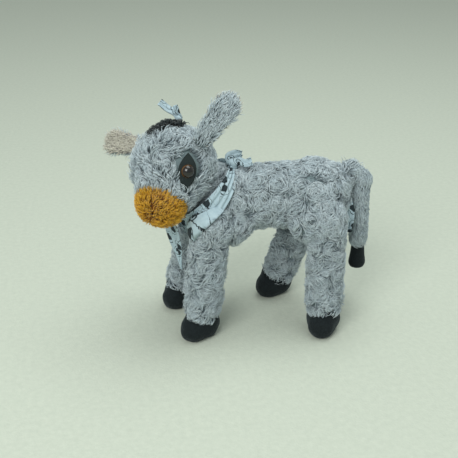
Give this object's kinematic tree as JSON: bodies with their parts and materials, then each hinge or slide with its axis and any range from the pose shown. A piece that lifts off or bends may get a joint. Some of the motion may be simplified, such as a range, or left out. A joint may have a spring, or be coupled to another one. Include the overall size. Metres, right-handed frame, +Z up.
{
  "type": "plush donkey",
  "caption": "Standing plush toy donkey with curly grey pile, ochre muzzle, black velour hooves and tail tip, and a printed cotton neck scarf.",
  "frame": {"origin": "on the ground, under the middle of the toy's bounding box", "axes": "+Z up, the nose end towards -X, the tail towards +X and the donkey's left side towards -Y"},
  "size_m": [0.2937, 0.1365, 0.2747],
  "materials": {
    "grey_plush": "curly long-pile polyester plush",
    "cream_plush": "short soft plush",
    "ochre_plush": "long-pile plush",
    "black_velour": "short-nap velour",
    "black_plush": "short strands of pile",
    "black_felt": "wool-like felt",
    "printed_cotton": "plain-woven printed cotton",
    "polyester_fill": "loose polyester fibre",
    "eye_plastic": "polished",
    "washer_plastic": "moulded"
  },
  "bodies": {
    "torso": {"body_side_left": "grey_plush", "body_side_right": "grey_plush", "belly_gusset": "grey_plush", "body_stuffing": "polyester_fill", "scarf_band": "printed_cotton", "scarf_knot": "printed_cotton", "scarf_ends": "printed_cotton", "tail_ribbon": "printed_cotton"},
    "neck": {"neck_cover": "grey_plush", "neck_stuffing": "polyester_fill"},
    "head": {"face_side_left": "grey_plush", "face_side_right": "grey_plush", "forehead_gusset": "grey_plush", "muzzle_cover": "ochre_plush", "head_stuffing": "polyester_fill", "eye_patch_left": "black_felt", "eye_patch_right": "black_felt", "eye_left": "eye_plastic", "eye_right": "eye_plastic", "eye_washer_left": "washer_plastic", "eye_washer_right": "washer_plastic", "mane_strip": "black_plush", "mane_ribbon_knot": "printed_cotton", "mane_ribbon_ends": "printed_cotton"},
    "ear_left": {"ear_outer_left": "grey_plush", "ear_lining_left": "cream_plush"},
    "ear_right": {"ear_outer_right": "grey_plush", "ear_lining_right": "cream_plush"},
    "tail": {"tail_cover": "grey_plush", "tail_stuffing": "polyester_fill"},
    "tail_tip": {"tail_tip": "black_velour"},
    "scarf_point": {"scarf_point": "printed_cotton"},
    "leg_front_left": {"leg_cover_front_left": "grey_plush", "hoof_front_left": "black_velour", "leg_stuffing_front_left": "polyester_fill"},
    "leg_front_right": {"leg_cover_front_right": "grey_plush", "hoof_front_right": "black_velour", "leg_stuffing_front_right": "polyester_fill"},
    "leg_hind_left": {"leg_cover_hind_left": "grey_plush", "hoof_hind_left": "black_velour", "leg_stuffing_hind_left": "polyester_fill"},
    "leg_hind_right": {"leg_cover_hind_right": "grey_plush", "hoof_hind_right": "black_velour", "leg_stuffing_hind_right": "polyester_fill"}
  },
  "joints": [
    {"name": "swing_front_left", "type": "hinge", "parent": "torso", "child": "leg_front_left", "pos_m": [-0.0385, -0.037, 0.131], "axis": [0, -1, 0], "range_deg": [-25, 25]},
    {"name": "swing_front_right", "type": "hinge", "parent": "torso", "child": "leg_front_right", "pos_m": [-0.0385, 0.037, 0.131], "axis": [0, -1, 0], "range_deg": [-12, 34]},
    {"name": "swing_hind_left", "type": "hinge", "parent": "torso", "child": "leg_hind_left", "pos_m": [0.0865, -0.037, 0.131], "axis": [0, -1, 0], "range_deg": [-25, 20]},
    {"name": "swing_hind_right", "type": "hinge", "parent": "torso", "child": "leg_hind_right", "pos_m": [0.0865, 0.037, 0.131], "axis": [0, -1, 0], "range_deg": [-10, 42]},
    {"name": "neck_turn", "type": "hinge", "parent": "torso", "child": "neck", "pos_m": [-0.0505, 0, 0.168], "axis": [0, 0, 1], "range_deg": [-75, 8], "deforming": ["scarf_band"]},
    {"name": "head_nod", "type": "hinge", "parent": "neck", "child": "head", "pos_m": [-0.0505, 0, 0.168], "axis": [0.866, -0.5, 0], "range_deg": [-8, 3], "deforming": ["scarf_band"]},
    {"name": "ear_flop_left", "type": "hinge", "parent": "head", "child": "ear_left", "pos_m": [-0.0494, -0.03692, 0.22349], "axis": [-0.7205, 0.4115, 0.5582], "range_deg": [-25, 25]},
    {"name": "ear_flop_right", "type": "hinge", "parent": "head", "child": "ear_right", "pos_m": [-0.10724, 0.01087, 0.20633], "axis": [0.3421, 0.4007, 0.85], "range_deg": [-25, 25]},
    {"name": "tail_lift", "type": "hinge", "parent": "torso", "child": "tail", "pos_m": [0.1205, 0, 0.174], "axis": [0, -1, 0], "range_deg": [0, 100]},
    {"name": "tail_tip_flop", "type": "hinge", "parent": "tail", "child": "tail_tip", "pos_m": [0.1355, 0, 0.08], "axis": [0, -1, 0], "range_deg": [-30, 30]},
    {"name": "scarf_point_lift", "type": "hinge", "parent": "torso", "child": "scarf_point", "pos_m": [-0.078, 0, 0.125], "axis": [0, 1, 0], "range_deg": [0, 75]}
  ]
}
